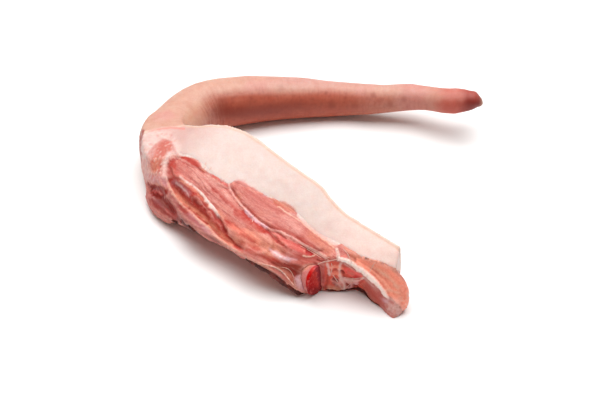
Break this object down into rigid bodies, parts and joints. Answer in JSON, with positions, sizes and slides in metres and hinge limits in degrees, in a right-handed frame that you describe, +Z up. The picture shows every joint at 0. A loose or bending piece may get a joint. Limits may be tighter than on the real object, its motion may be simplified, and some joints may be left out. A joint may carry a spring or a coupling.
{
  "type": "raw pork tail",
  "caption": "Long-cut raw pork tail: a skinned tapering tail bent back beside a wedge of rump with back fat, lean meat and a sawn tail bone.",
  "frame": {"origin": "middle of the footprint, on the surface that it lies on", "axes": "+X along the tail towards its tip, the longest extent; +Y from the rump's cut end towards the tail; +Z up, the shortest extent"},
  "size_m": [0.2297, 0.2187, 0.046],
  "materials": {
    "skin_and_fat": "soft satin pink pork skin, with pale pinkish white fat where it is cut",
    "lean_meat": "moist raw lean pork with pale tendons and membranes",
    "bone": "moist dark red marrow in the sawn end, pale cartilage at the rim"
  },
  "bodies": {
    "root": {"skin_and_fat": "skin_and_fat", "lean_meat": "lean_meat", "vertebra": "bone"}
  },
  "joints": []
}
